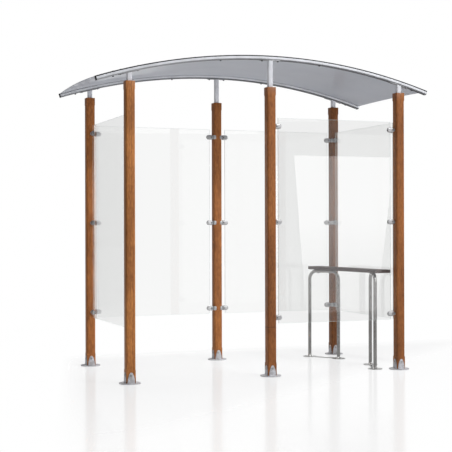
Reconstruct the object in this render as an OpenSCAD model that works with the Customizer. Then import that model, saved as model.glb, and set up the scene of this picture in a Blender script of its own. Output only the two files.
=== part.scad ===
// Open smoking shelter: six timber posts in two rows, an arched roof sheet on
// two arched rails, five clamped glass panels and a narrow leaning table.
// Millimetres. X runs along the rows, Y to the back, Z up. The origin is on
// the floor, at the middle of the plan.

/* [Frame] */
// Distance between neighbouring post centres along a row
bay_w = 1190; // [800:10:1800]
// Distance between the centre lines of the front and back rows
frame_d = 1240; // [900:10:2000]
// Height of the timber tops above the floor
post_top = 2350; // [2200:10:2800]
// Side of the square posts
post_w = 74; // [60:1:100]
// Leg of the chamfer along each post edge
post_chamfer = 8; // [3:0.5:12]
// Square end left between each chamfer and the post's top
chamfer_stop = 60; // [20:5:150]
// Square end left between the shoe's tabs and each chamfer
chamfer_start = 15; // [5:5:60]

/* [Post shoes] */
// Distance from the post's faces to the rim of the round base plate
shoe_edge = 48; // [40:1:85]
// Thickness of the base plate
shoe_t = 8; // [5:0.5:15]
// Distance from the post's edges to the sides of the upright tabs
tab_side = 7; // [2:0.5:12]
// Height of each tab above the base plate
tab_h = 82; // [60:1:140]
// Thickness of the tabs
tab_t = 4; // [2:0.5:8]
// Radius of the tab's peak
tab_peak_r = 14; // [6:0.5:18]
// Distance from the base plate's rim to the middle of its anchor holes
anchor_edge = 18; // [12:0.5:20]
// Diameter of the anchor holes
anchor_d = 12; // [8:0.5:16]

/* [Roof stubs] */
// Side of the square stub tube
stub_w = 35; // [25:1:50]
// Wall of the stub tube
stub_wall = 3; // [2:0.5:6]
// Depth of the mortise that holds the stub in the post
stub_depth = 120; // [60:5:200]
// Clearance round the stub in its mortise
mortise_gap = 0.3; // [0.1:0.1:1]
// Length of the saddle plate under the rail
saddle_l = 170; // [100:5:240]
// Thickness of the saddle plate
saddle_t = 4; // [2:0.5:8]

/* [Roof] */
// Radius of the rails' underside
arch_r = 4765; // [3500:5:9000]
// Gap between the outer posts' tops and the rails' underside
eaves_gap = 70; // [40:1:200]
// Overhang of the roof past the outer post centres
overhang = 260; // [120:5:300]
// Width of the rails
rail_w = 38; // [35:1:60]
// Height of the rails
rail_h = 27; // [20:1:50]
// Wall of the hollow rails
rail_wall = 3; // [2:0.5:5]
// Thickness of the rubber strip between rail and sheet
gasket_t = 1.5; // [1:0.5:4]
// Thickness of the roof sheet
sheet_t = 5; // [3:0.5:12]
// Thickness of the cover strip and its lip
cover_t = 2.5; // [1.5:0.5:5]
// Thickness of the end caps
cap_t = 4; // [2:0.5:8]

/* [Glass] */
// Height of the glass panes' lower edge above the floor
glass_low = 425; // [150:5:600]
// Distance from the panes' upper edge to the posts' tops
glass_top_gap = 245; // [120:5:600]
// Thickness of the panes
glass_t = 8; // [6:0.5:12]
// Gap between a post and the edge of the pane
glass_gap = 37; // [30:1:44]
// Distance from the posts' inner faces to the middle of the glass
glass_in = 26; // [20:0.5:32]

/* [Clamps] */
// Distance from a pane's lower edge to the middle of the lowest clamp
clamp_low = 48; // [30:1:120]
// Distance from a pane's upper edge to the middle of the highest clamp
clamp_high = 70; // [30:1:120]
// Height of a clamp
clamp_h = 42; // [30:1:60]
// Thickness of a clamp across the glass
clamp_t = 26; // [20:1:32]
// Reach of a clamp from the post's face
clamp_reach = 66; // [60:1:90]
// Length of the neck between bracket and clamp
neck_l = 9; // [4:1:14]
// Inset of the neck from the clamp's outline
neck_in = 6; // [3:0.5:9]
// Depth of the clamp's slot behind the pane's edge
slot_back = 3; // [1:0.5:8]
// Clearance between glass and clamp on each side
glass_clear = 0.3; // [0.1:0.1:1]
// Thickness of the corner brackets
bracket_t = 3; // [2:0.5:5]
// Length of the bracket's leg under the clamp
bracket_leg = 44; // [40:1:55]
// Length of the short leg on a middle post's inner face
bracket_short = 18; // [12:1:28]

/* [Table] */
// Height of the table top above the floor
table_h = 845; // [700:5:1150]
// Gap between the plank's ends and the posts' inner faces
plank_gap = 25; // [20:1:150]
// Width of the plank
plank_w = 150; // [100:5:170]
// Thickness of the plank
plank_t = 28; // [18:1:45]
// Rounding radius of the plank's corners
plank_r = 6; // [2:1:20]
// Gap between the middle of the plank's right edge and the right posts' inner faces
table_gap = 60; // [55:1:300]
// Turn of the plank from the direction of depth, in degrees
table_turn = 6; // [0:0.5:8]
// Distance of each hoop from the plank's end
hoop_in = 162; // [150:1:250]
// Turn of each hoop from the plank's length, in degrees
hoop_turn = 27; // [0:1:40]
// Distance between the leg centres of a hoop
hoop_w = 310; // [200:5:340]
// Diameter of the hoop tube
tube_d = 30; // [20:1:42]
// Wall of the hoop tube
tube_wall = 2.5; // [1.5:0.5:4]
// Bend radius of the hoop at the tube's middle
bend_r = 75; // [40:1:80]
// Diameter of the hoop's floor discs
disc_d = 124; // [90:1:160]
// Thickness of the floor discs and their tie bar
disc_t = 5; // [4:0.5:10]
// Width of the tie bar between the discs
tie_w = 40; // [20:1:60]
// Distance from a disc's rim to the middle of its screw holes
disc_edge = 16; // [10:0.5:20]
// Diameter of the screw holes in a disc
disc_hole_d = 9; // [5:0.5:12]

/* [Hidden] */

wood = "saddlebrown";
steel = "silver";
dark = "dimgray";

FRONT = -1;
BACK = 1;
LEFT = -1;
MIDDLE = 0;
RIGHT = 1;

shoe_d = post_w + 2 * shoe_edge;

// The rails' underside passes over the outer posts and rises from there to the middle
arch_rise = arch_r - sqrt(arch_r * arch_r - bay_w * bay_w);
arch_top = post_top + eaves_gap + arch_rise;

// Heights and radii of the roof build-up, from the rails' underside outwards
arch_z = arch_top - arch_r;
gasket_r = arch_r + rail_h;
sheet_r = gasket_r + gasket_t;
cover_r = sheet_r + sheet_t;
roof_r = cover_r + cover_t;
roof_half = bay_w + overhang;
roof_angle = asin(roof_half / arch_r);
cap_angle = cap_t / arch_r * 180 / PI;
arch_fn = 360;

glass_h = post_top - glass_top_gap - glass_low;
clamp_heights = [
  glass_low + clamp_low,
  glass_low + (clamp_low + glass_h - clamp_high) / 2,
  glass_low + glass_h - clamp_high
];
clamp_start = bracket_t + neck_l;
slot_t = glass_t + 2 * glass_clear;

plank_l = frame_d - post_w - 2 * plank_gap;
plank_z = table_h - plank_t;
hoop_place = plank_l / 2 - hoop_in;
leg_z = plank_z - tube_d / 2;
slack = 1;

// ---- posts -----------------------------------------------------------------

// Wedge that cuts one stopped chamfer, seen along the corner's diagonal
module chamfer_cut(low, high) {
  deep = post_chamfer / sqrt(2);
  far = post_w / sqrt(2);
  rotate([0, 0, 45])
    translate([far, 0, 0])
      rotate([90, 0, 0])
        linear_extrude(height = 4 * post_chamfer, center = true)
          polygon([
            [0, low], [-deep, low + 2 * deep], [-deep, high - 2 * deep], [0, high],
            [post_chamfer, high + 2 * post_chamfer], [post_chamfer, low - 2 * post_chamfer]
          ]);
}

module post(side, row) {
  low = shoe_t + tab_h + chamfer_start;
  high = post_top - chamfer_stop;
  mortise = stub_w + 2 * mortise_gap;
  color(wood)
    translate([side * bay_w, row * frame_d / 2, 0])
      difference() {
        translate([-post_w / 2, -post_w / 2, shoe_t])
          cube([post_w, post_w, post_top - shoe_t]);
        for (turn = [0:90:270])
          rotate([0, 0, turn])
            chamfer_cut(low, high);
        translate([-mortise / 2, -mortise / 2, post_top - stub_depth])
          cube([mortise, mortise, stub_depth + slack]);
      }
}

// ---- post shoes ------------------------------------------------------------

// Upright tab: two side arcs that run into a round peak
module tab_outline() {
  half = post_w / 2 - tab_side;
  peak_z = tab_h - tab_peak_r;
  side_r = (half * half + peak_z * peak_z - tab_peak_r * tab_peak_r) / (2 * (half - tab_peak_r));
  join_z = peak_z * side_r / (side_r - tab_peak_r);
  intersection() {
    translate([side_r - half, 0])
      circle(r = side_r, $fn = 128);
    translate([half - side_r, 0])
      circle(r = side_r, $fn = 128);
    translate([-half, 0])
      square([2 * half, join_z]);
  }
  translate([0, peak_z])
    circle(r = tab_peak_r, $fn = 48);
}

module shoe(side, row) {
  color(steel)
    translate([side * bay_w, row * frame_d / 2, 0]) {
      difference() {
        cylinder(d = shoe_d, h = shoe_t, $fn = 96);
        for (turn = [45:90:315])
          rotate([0, 0, turn])
            translate([shoe_d / 2 - anchor_edge, 0, -slack])
              cylinder(d = anchor_d, h = shoe_t + 2 * slack, $fn = 32);
      }
      for (turn = [0:90:270])
        rotate([0, 0, turn])
          translate([0, post_w / 2 + tab_t, shoe_t])
            rotate([90, 0, 0])
              linear_extrude(height = tab_t)
                tab_outline();
    }
}

// ---- roof ------------------------------------------------------------------

// Sweeps an outline given in [radius, depth] along the arch of the roof
module along_arch(half_angle, start = 0) {
  translate([0, 0, arch_z])
    rotate([90, 0, 0])
      rotate([0, 0, 90 - half_angle + start])
        rotate_extrude(angle = 2 * half_angle, $fn = arch_fn)
          children();
}

// Solid under the arch at a given radius, used to shape the stubs to the rail
module arch_disc(radius, width) {
  translate([0, width / 2, arch_z])
    rotate([90, 0, 0])
      cylinder(r = radius, h = width, $fn = 2 * arch_fn);
}

module stub(side, row) {
  base_z = post_top - stub_depth;
  tall = arch_top - base_z + slack;
  inner = stub_w - 2 * stub_wall;
  color(steel)
    translate([0, row * frame_d / 2, 0]) {
      intersection() {
        translate([side * bay_w, 0, base_z])
          difference() {
            translate([-stub_w / 2, -stub_w / 2, 0])
              cube([stub_w, stub_w, tall]);
            translate([-inner / 2, -inner / 2, -slack])
              cube([inner, inner, tall + 2 * slack]);
          }
        arch_disc(arch_r - saddle_t, 2 * stub_w);
      }
      intersection() {
        translate([side * bay_w - saddle_l / 2, -rail_w / 2, post_top])
          cube([saddle_l, rail_w, tall]);
        difference() {
          arch_disc(arch_r, 2 * rail_w);
          arch_disc(arch_r - saddle_t, 3 * rail_w);
        }
      }
    }
}

module rail(row) {
  color("lightgray")
    translate([0, row * frame_d / 2, 0])
      along_arch(roof_angle)
        difference() {
          translate([arch_r, -rail_w / 2])
            square([rail_h, rail_w]);
          translate([arch_r + rail_wall, -rail_w / 2 + rail_wall])
            square([rail_h - 2 * rail_wall, rail_w - 2 * rail_wall]);
        }
}

// Distance from a rail's middle to the sheet's edge, behind the strip's lip
sheet_edge = rail_w / 2 - cover_t;

module gasket(row) {
  color(dark)
    translate([0, row * frame_d / 2, 0])
      along_arch(roof_angle)
        translate([gasket_r, -sheet_edge])
          square([gasket_t, 2 * sheet_edge]);
}

module roof_sheet() {
  half = frame_d / 2 + sheet_edge;
  color("slategray")
    along_arch(roof_angle)
      translate([sheet_r, -half])
        square([sheet_t, 2 * half]);
}

// Flat strip over the sheet's edge, with a lip down to the rail
module cover_strip(row) {
  color(dark)
    translate([0, row * frame_d / 2, 0])
      outer_side(row)
        along_arch(roof_angle) {
          translate([cover_r, -rail_w / 2])
            square([cover_t, rail_w]);
          translate([gasket_r, -rail_w / 2])
            square([roof_r - gasket_r, cover_t]);
        }
}

// The lip is drawn on the back rail's outer side; the front one is its mirror image
module outer_side(row) {
  mirror([0, row == FRONT ? 1 : 0, 0])
    children();
}

module end_caps(row) {
  color("black")
    translate([0, row * frame_d / 2, 0])
      for (end = [-1, 1])
        along_arch(cap_angle / 2, end * (roof_angle + cap_angle / 2))
          translate([arch_r, -rail_w / 2])
            square([roof_r - arch_r, rail_w]);
}

// ---- glass and clamps ------------------------------------------------------

// Sets a panel between its two posts: local X along it, local Y outwards
module left_end() {
  translate([-bay_w, 0, 0])
    rotate([0, 0, 90])
      children();
}

module right_end() {
  translate([bay_w, 0, 0])
    rotate([0, 0, -90])
      children();
}

module back_bay(side) {
  translate([side * bay_w / 2, frame_d / 2, 0])
    children();
}

module front_bay(side) {
  translate([side * bay_w / 2, -frame_d / 2, 0])
    rotate([0, 0, 180])
      children();
}

// Side of the panel's post, with local X pointing from its face to the glass
module at_post(span, side) {
  mirror([side > 0 ? 1 : 0, 0, 0])
    translate([-span / 2 + post_w / 2, -post_w / 2, 0])
      children();
}

module pane(span) {
  wide = span - post_w - 2 * glass_gap;
  color("lightcyan", 0.4)
    translate([-wide / 2, -post_w / 2 + glass_in - glass_t / 2, glass_low])
      cube([wide, glass_t, glass_h]);
}

// Clamp with a round end and a slot for the glass, on a short neck
module clamp() {
  round_r = clamp_h / 2;
  neck_t = clamp_t - 2 * neck_in;
  neck_h = clamp_h - 2 * neck_in;
  translate([bracket_t, glass_in - neck_t / 2, -neck_h / 2])
    cube([neck_l + slack, neck_t, neck_h]);
  difference() {
    translate([0, glass_in + clamp_t / 2, 0])
      rotate([90, 0, 0])
        linear_extrude(height = clamp_t) {
          translate([clamp_start, -round_r])
            square([clamp_reach - round_r - clamp_start, clamp_h]);
          translate([clamp_reach - round_r, 0])
            circle(r = round_r, $fn = 64);
        }
    translate([glass_gap - slot_back, glass_in - slot_t / 2, -clamp_h])
      cube([clamp_reach, slot_t, 2 * clamp_h]);
  }
}

module clamp_set(span) {
  color(steel)
    for (side = [-1, 1])
      at_post(span, side)
        for (z = clamp_heights)
          translate([0, 0, z])
            clamp();
}

// Bent plate round a post's inner corner: long leg under the clamp, other leg inside
module bracket(other_leg) {
  bend = bracket_t * tan(22.5);
  linear_extrude(height = clamp_h, center = true)
    polygon([
      [0, bracket_leg], [0, post_chamfer], [-post_chamfer, 0], [-other_leg, 0],
      [-other_leg, -bracket_t], [bend - post_chamfer, -bracket_t],
      [bracket_t, post_chamfer - bend], [bracket_t, bracket_leg]
    ]);
}

module bracket_column(span, side, other_leg) {
  color(steel)
    at_post(span, side)
      for (z = clamp_heights)
        translate([0, 0, z])
          bracket(other_leg);
}

module brackets_back() {
  back_bay(LEFT) {
    bracket_column(bay_w, -1, bracket_leg);
    bracket_column(bay_w, 1, bracket_short);
  }
  back_bay(RIGHT) {
    bracket_column(bay_w, -1, bracket_short);
    bracket_column(bay_w, 1, bracket_leg);
  }
}

module brackets_front() {
  front_bay(RIGHT) {
    bracket_column(bay_w, -1, bracket_leg);
    bracket_column(bay_w, 1, bracket_short);
  }
  left_end()
    bracket_column(frame_d, -1, bracket_short);
}

// ---- table -----------------------------------------------------------------

module at_table() {
  translate([bay_w - post_w / 2 - table_gap - plank_w / 2, 0, 0])
    rotate([0, 0, table_turn])
      children();
}

// Hoop's own frame: local X runs from one leg to the other
module at_hoop(row) {
  at_table()
    translate([0, row * hoop_place, 0])
      rotate([0, 0, 90 + row * hoop_turn])
        children();
}

module table_plank() {
  long = plank_l - 2 * plank_r;
  wide = plank_w - 2 * plank_r;
  color("dimgray")
    at_table()
      translate([0, 0, plank_z])
        linear_extrude(height = plank_t) {
          square([wide, plank_l], center = true);
          square([plank_w, long], center = true);
          for (x = [-1, 1], y = [-1, 1])
            translate([x * wide / 2, y * long / 2])
              circle(r = plank_r, $fn = 32);
        }
}

module tube_ring() {
  difference() {
    circle(d = tube_d, $fn = 48);
    circle(d = tube_d - 2 * tube_wall, $fn = 48);
  }
}

module table_hoop(row) {
  straight = hoop_w - 2 * bend_r;
  leg_h = leg_z - bend_r - disc_t;
  color(steel)
    at_hoop(row) {
      for (side = [-1, 1]) {
        translate([side * hoop_w / 2, 0, disc_t])
          linear_extrude(height = leg_h)
            tube_ring();
        translate([side * straight / 2, 0, leg_z - bend_r])
          rotate([90, 0, 0])
            rotate([0, 0, side > 0 ? 0 : 90])
              rotate_extrude(angle = 90, $fn = 96)
                translate([bend_r, 0])
                  tube_ring();
      }
      translate([-straight / 2, 0, leg_z])
        rotate([0, 90, 0])
          linear_extrude(height = straight)
            tube_ring();
    }
}

// Two floor discs joined by a flat tie bar
module table_foot(row) {
  color(steel)
    at_hoop(row)
      difference() {
        union() {
          translate([-hoop_w / 2, -tie_w / 2, 0])
            cube([hoop_w, tie_w, disc_t]);
          for (side = [-1, 1])
            translate([side * hoop_w / 2, 0, 0])
              cylinder(d = disc_d, h = disc_t, $fn = 64);
        }
        for (side = [-1, 1], turn = [-90, 0, 90])
          translate([side * hoop_w / 2, 0, -slack])
            rotate([0, 0, turn])
              translate([side * (disc_d / 2 - disc_edge), 0, 0])
                cylinder(d = disc_hole_d, h = disc_t + 2 * slack, $fn = 32);
      }
}

// ---- pieces ----------------------------------------------------------------

post(LEFT, FRONT);  // post_front_left
post(MIDDLE, FRONT);  // post_front_middle
post(RIGHT, FRONT);  // post_front_right
post(LEFT, BACK);  // post_back_left
post(MIDDLE, BACK);  // post_back_middle
post(RIGHT, BACK);  // post_back_right
shoe(LEFT, FRONT);  // shoe_front_left
shoe(MIDDLE, FRONT);  // shoe_front_middle
shoe(RIGHT, FRONT);  // shoe_front_right
shoe(LEFT, BACK);  // shoe_back_left
shoe(MIDDLE, BACK);  // shoe_back_middle
shoe(RIGHT, BACK);  // shoe_back_right
stub(LEFT, FRONT);  // stub_front_left
stub(MIDDLE, FRONT);  // stub_front_middle
stub(RIGHT, FRONT);  // stub_front_right
stub(LEFT, BACK);  // stub_back_left
stub(MIDDLE, BACK);  // stub_back_middle
stub(RIGHT, BACK);  // stub_back_right
rail(FRONT);  // rail_front
rail(BACK);  // rail_back
gasket(FRONT);  // gasket_front
gasket(BACK);  // gasket_back
cover_strip(FRONT);  // cover_strip_front
cover_strip(BACK);  // cover_strip_back
end_caps(FRONT);  // end_caps_front
end_caps(BACK);  // end_caps_back
roof_sheet();
left_end() pane(frame_d);  // glass_left_end
back_bay(LEFT) pane(bay_w);  // glass_back_left
back_bay(RIGHT) pane(bay_w);  // glass_back_right
right_end() pane(frame_d);  // glass_right_end
front_bay(RIGHT) pane(bay_w);  // glass_front_right
left_end() clamp_set(frame_d);  // clamps_left_end
back_bay(LEFT) clamp_set(bay_w);  // clamps_back_left
back_bay(RIGHT) clamp_set(bay_w);  // clamps_back_right
right_end() clamp_set(frame_d);  // clamps_right_end
front_bay(RIGHT) clamp_set(bay_w);  // clamps_front_right
brackets_front();
brackets_back();
table_plank();
table_hoop(BACK);  // table_hoop_back
table_hoop(FRONT);  // table_hoop_front
table_foot(BACK);  // table_foot_back
table_foot(FRONT);  // table_foot_front
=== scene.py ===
"""The looks of an open smoking shelter: oiled timber posts, satin metalwork, clear glass and a
glossy grey arched roof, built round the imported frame. Metres throughout."""

import math

import bmesh
import bpy
from mathutils import Matrix, Vector


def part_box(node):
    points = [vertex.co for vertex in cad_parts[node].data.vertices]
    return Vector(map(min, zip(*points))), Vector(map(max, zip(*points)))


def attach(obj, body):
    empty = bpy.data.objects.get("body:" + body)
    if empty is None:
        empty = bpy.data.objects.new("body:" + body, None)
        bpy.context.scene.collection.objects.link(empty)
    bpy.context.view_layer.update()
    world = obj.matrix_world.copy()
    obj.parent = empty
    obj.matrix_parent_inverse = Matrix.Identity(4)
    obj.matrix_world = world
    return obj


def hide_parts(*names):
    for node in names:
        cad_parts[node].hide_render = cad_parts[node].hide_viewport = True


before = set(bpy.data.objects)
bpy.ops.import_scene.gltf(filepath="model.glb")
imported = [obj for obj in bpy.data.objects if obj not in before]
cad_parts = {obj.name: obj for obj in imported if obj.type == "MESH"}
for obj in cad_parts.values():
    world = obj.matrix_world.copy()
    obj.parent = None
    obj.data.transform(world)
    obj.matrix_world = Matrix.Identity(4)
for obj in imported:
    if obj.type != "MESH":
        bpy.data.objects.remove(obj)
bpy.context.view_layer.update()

# Sizes shared with the frame
POST_W = 0.074
TAB_H = 0.082
TAB_T = 0.004
SHOE_T = 0.008
ARCH_R = 4.765
RAIL_W = 0.038
RAIL_H = 0.027
GASKET_T = 0.0015
SHEET_T = 0.005
COVER_T = 0.0025
SADDLE_T = 0.004
TABLE_TURN = math.radians(6)
HOOP_TURN = math.radians(27)
HOOP_W = 0.310
TUBE_R = 0.015
BEND_R = 0.075
DISC_T = 0.005
DISC_HOLES_R = 0.046
GLASS_IN = 0.026
GLASS_GAP = 0.037
PANE_T = 0.008
CLAMP_T = 0.026
CLAMP_H = 0.042
CLAMP_START = 0.012
CLAMP_REACH = 0.066
BRACKET_T = 0.003

# Sizes of the details that the frame leaves out
JOINT_Z = 0.4
BOLT_DROP = 0.024
SADDLE_SCREW = 0.070
BRACKET_LEG = 0.044
BRACKET_TAPER = 0.8
JAW_SCREW = 0.024
LUG_OFF = 0.060

ROWS = {"front": -1, "back": 1}
COLUMNS = {"left": -1, "middle": 0, "right": 1}


def middle(node):
    """The middle of a frame node's box."""
    low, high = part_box(node)
    return (low + high) / 2


BAY_W = middle("post_front_right").x
ROW_Y = middle("post_back_left").y
ARCH_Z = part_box("rail_front")[1].z - ARCH_R - RAIL_H
ROOF_HALF = math.asin(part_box("rail_front")[1].x / (ARCH_R + RAIL_H))


# ---- node trees ----------------------------------------------------------------


def add(tree, kind, inputs=None, **settings):
    """Adds a node, sets its properties, and links or sets its inputs by name or number."""
    made = tree.nodes.new(kind)
    for name, value in settings.items():
        setattr(made, name, value)
    for name, value in (inputs or {}).items():
        if isinstance(value, bpy.types.NodeSocket):
            tree.links.new(value, made.inputs[name])
        else:
            made.inputs[name].default_value = value
    return made


def blank(name, colour, roughness, metallic=0.0):
    """A new material with a Principled shader: returns the material, its tree and the shader."""
    material = bpy.data.materials.new(name)
    material.use_nodes = True
    tree = material.node_tree
    shader = tree.nodes["Principled BSDF"]
    shader.inputs["Base Color"].default_value = (*colour, 1)
    shader.inputs["Roughness"].default_value = roughness
    shader.inputs["Metallic"].default_value = metallic
    return material, tree, shader


def place(tree, scale=(1, 1, 1), shift=(0, 0, 0)):
    """Object coordinates, shifted and scaled."""
    where = add(tree, "ShaderNodeTexCoord").outputs["Object"]
    return add(
        tree, "ShaderNodeMapping", {"Vector": where, "Location": shift, "Scale": scale}
    ).outputs[0]


def axes(tree):
    """The X, Y and Z of Object coordinates."""
    return add(tree, "ShaderNodeSeparateXYZ", {0: place(tree)}).outputs


def noise(tree, vector, detail, roughness=0.5, distortion=0.0, output="Fac"):
    """Cloudy noise, whose size is set by the scale of its coordinates."""
    return add(tree, "ShaderNodeTexNoise", {
        "Vector": vector, "Scale": 1.0, "Detail": detail,
        "Roughness": roughness, "Distortion": distortion,
    }).outputs[output]


def spread(tree, value, low, high, to_low, to_high):
    """Maps a value from one range to another, clamped."""
    return add(tree, "ShaderNodeMapRange", {
        "Value": value, "From Min": low, "From Max": high, "To Min": to_low, "To Max": to_high,
    }).outputs[0]


def maths(tree, operation, a, b=0.0):
    """One operation on two values."""
    return add(tree, "ShaderNodeMath", {0: a, 1: b}, operation=operation).outputs[0]


def product(tree, first, *others):
    """Several values multiplied."""
    for other in others:
        first = maths(tree, "MULTIPLY", first, other)
    return first


def ramp(tree, value, *stops):
    """A colour ramp of (place, colour) stops."""
    made = add(tree, "ShaderNodeValToRGB", {"Fac": value})
    elements = made.color_ramp.elements
    while len(elements) < len(stops):
        elements.new(0.5)
    for element, (at, colour) in zip(elements, stops):
        element.position = at
        element.color = (*colour, 1)
    return made.outputs["Color"]


def blend(tree, share, a, b, mode="MIX"):
    """Mixes two colours."""
    made = add(tree, "ShaderNodeMix", data_type="RGBA", blend_type=mode)
    for socket, value in ((made.inputs[0], share), (made.inputs[6], a), (made.inputs[7], b)):
        if isinstance(value, bpy.types.NodeSocket):
            tree.links.new(value, socket)
        else:
            socket.default_value = value if isinstance(value, float) else (*value, 1)
    return made.outputs[2]


def scaled(colour, share):
    """A colour made darker or paler by a share."""
    return tuple(c * share for c in colour)


def relief(tree, shader, height, strength, depth):
    """Bump of a real depth on a shader."""
    made = add(tree, "ShaderNodeBump", {"Height": height, "Strength": strength, "Distance": depth})
    tree.links.new(made.outputs[0], shader.inputs["Normal"])


def join_colour(tree, shader, colour):
    """Gives a shader its colour."""
    tree.links.new(colour, shader.inputs["Base Color"])


def join_roughness(tree, shader, value, low, high):
    """Lets a pattern move a shader's roughness between two values."""
    tree.links.new(spread(tree, value, 0.3, 0.7, low, high), shader.inputs["Roughness"])


def either(tree, share, first, second):
    """Mixes two shaders: none of the share is all of the first."""
    return add(tree, "ShaderNodeMixShader", {0: share, 1: first, 2: second}).outputs[0]


def given_off(tree, strength, colour=(1.0, 1.0, 1.0)):
    """Plain light that a surface gives off."""
    return add(tree, "ShaderNodeEmission", {"Color": (*colour, 1), "Strength": strength}).outputs[0]


def let_through(tree, colour=(1.0, 1.0, 1.0)):
    """Light that passes straight through a surface."""
    return add(tree, "ShaderNodeBsdfTransparent", {"Color": (*colour, 1)}).outputs[0]


def seen_straight(tree):
    """One where a ray comes from the camera or through glass, and the ray's other kinds."""
    rays = add(tree, "ShaderNodeLightPath").outputs
    return maths(tree, "MAXIMUM", rays["Is Camera Ray"], rays["Is Transmission Ray"]), rays


def surface(tree, shader, end="Material Output"):
    """Ends a tree with a shader."""
    tree.links.new(shader, tree.nodes[end].inputs["Surface"])


# ---- finishes ------------------------------------------------------------------


def timber(name, centre, pith, tone, joint_z=None):
    """Oiled hardwood: growth rings about a pith beside the post, fibres, mottling, flecks and
    pores, and perhaps the fine dark line of a joint at a height."""
    material, tree, shader = blank(name, (0.4, 0.17, 0.07), 0.5)
    shift = (-centre.x - pith[0], -centre.y - pith[1], 0)
    sway = noise(tree, place(tree, (5, 5, 0.8), shift), 2.0, output="Color")
    sway = add(tree, "ShaderNodeVectorMath", {0: sway, "Scale": 0.03}, operation="SCALE").outputs[0]
    swayed = add(tree, "ShaderNodeVectorMath", {
        0: place(tree, shift=shift), 1: sway,
    }, operation="ADD").outputs[0]
    rings = add(tree, "ShaderNodeTexWave", {
        "Vector": swayed, "Scale": 58.0, "Distortion": 1.4, "Detail": 2.0, "Detail Scale": 6.0,
    }, wave_type="RINGS", rings_direction="Z", wave_profile="SAW").outputs["Fac"]
    fibres = noise(tree, place(tree, (520, 520, 9), shift), 4.0, 0.62)
    pores = noise(tree, place(tree, (1500, 1500, 42), shift), 2.0)
    flecks = noise(tree, place(tree, (100, 100, 26), shift), 3.0)
    patches = noise(tree, place(tree, (9, 9, 2.3), shift), 3.0)
    light = tuple(c * t for c, t in zip((0.43, 0.160, 0.049), tone))
    dark = tuple(c * t for c, t in zip((0.245, 0.078, 0.0225), tone))
    grain = ramp(tree, rings, (0.0, light), (0.72, light), (1.0, dark))
    for pattern, share, dark_stop, light_stop in (
        (fibres, 0.85, (0.30, (0.66, 0.60, 0.54)), (0.62, (1.08, 1.08, 1.08))),
        (patches, 0.9, (0.34, (0.72, 0.67, 0.62)), (0.64, (1.16, 1.16, 1.14))),
        (flecks, 0.9, (0.34, (0.74, 0.69, 0.64)), (0.62, (1.12, 1.12, 1.12))),
        (pores, 0.8, (0.28, (0.42, 0.34, 0.28)), (0.40, (1.0, 1.0, 1.0))),
    ):
        grain = blend(tree, share, grain, ramp(tree, pattern, dark_stop, light_stop), "MULTIPLY")
    if joint_z is not None:
        off = maths(tree, "ABSOLUTE", maths(tree, "SUBTRACT", axes(tree)[2], joint_z))
        line = spread(tree, off, 0.0008, 0.0025, 1.0, 0.0)
        grain = blend(tree, line, grain, (0.05, 0.02, 0.01))
    join_colour(tree, shader, grain)
    join_roughness(tree, shader, fibres, 0.58, 0.40)
    relief(tree, shader, maths(tree, "ADD", fibres, pores), 0.35, 0.0006)
    shader.inputs["Specular IOR Level"].default_value = 0.35
    return material


def satin(name, colour, roughness, brushed=(240, 240, 240), metallic=1.0):
    """Ground, cast or coated metal: a fine scratch or grain pattern in its gloss and relief."""
    material, tree, shader = blank(name, colour, roughness, metallic)
    scratches = noise(tree, place(tree, brushed), 4.0, 0.6)
    clouds = noise(tree, place(tree, (11, 11, 11)), 3.0)
    tint = ramp(tree, clouds, (0.3, scaled(colour, 0.88)), (0.7, scaled(colour, 1.08)))
    join_colour(tree, shader, tint)
    join_roughness(tree, shader, scratches, roughness * 0.75, roughness * 1.3)
    relief(tree, shader, scratches, 0.4, 0.00015)
    return material


def painted_light_left(material, pale):
    """Paints light on a dark finish: it grows paler towards the roof's left end, a painted
    highlight.
    """
    tree = material.node_tree
    shader = tree.nodes["Principled BSDF"]
    base = shader.inputs["Base Color"].links[0].from_socket
    share = spread(tree, axes(tree)[0], -1.4, 0.2, 1.0, 0.0)
    join_colour(tree, shader, blend(tree, share, base, pale))
    return material


def galvanised(name):
    """Dull zinc with its spangle and a little staining."""
    dull, bright = (0.50, 0.50, 0.51), (0.68, 0.68, 0.71)
    material, tree, shader = blank(name, dull, 0.45, 0.45)
    spangle = add(tree, "ShaderNodeTexVoronoi", {
        "Vector": place(tree), "Scale": 120.0, "Randomness": 1.0,
    }).outputs["Color"]
    flakes = add(tree, "ShaderNodeSeparateColor", {0: spangle}).outputs[0]
    tint = ramp(tree, flakes, (0.0, dull), (1.0, bright))
    clouds = noise(tree, place(tree, (24, 24, 24)), 4.0)
    shade = ramp(tree, clouds, (0.34, (0.74, 0.70, 0.68)), (0.62, (1.05, 1.05, 1.08)))
    join_colour(tree, shader, blend(tree, 0.8, tint, shade, "MULTIPLY"))
    join_roughness(tree, shader, flakes, 0.38, 0.55)
    relief(tree, shader, clouds, 0.3, 0.0003)
    return material


def moulded(name, colour, roughness):
    """Moulded plastic or rubber with a fine stipple."""
    material, tree, shader = blank(name, colour, roughness)
    stipple = noise(tree, place(tree, (900, 900, 900)), 2.0)
    clouds = noise(tree, place(tree, (30, 30, 30)), 3.0)
    pale = tuple(c * 1.35 + 0.004 for c in colour)
    join_colour(tree, shader, ramp(tree, clouds, (0.3, colour), (0.75, pale)))
    join_roughness(tree, shader, clouds, roughness * 0.85, roughness * 1.15)
    relief(tree, shader, stipple, 0.3, 0.0002)
    return material


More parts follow.
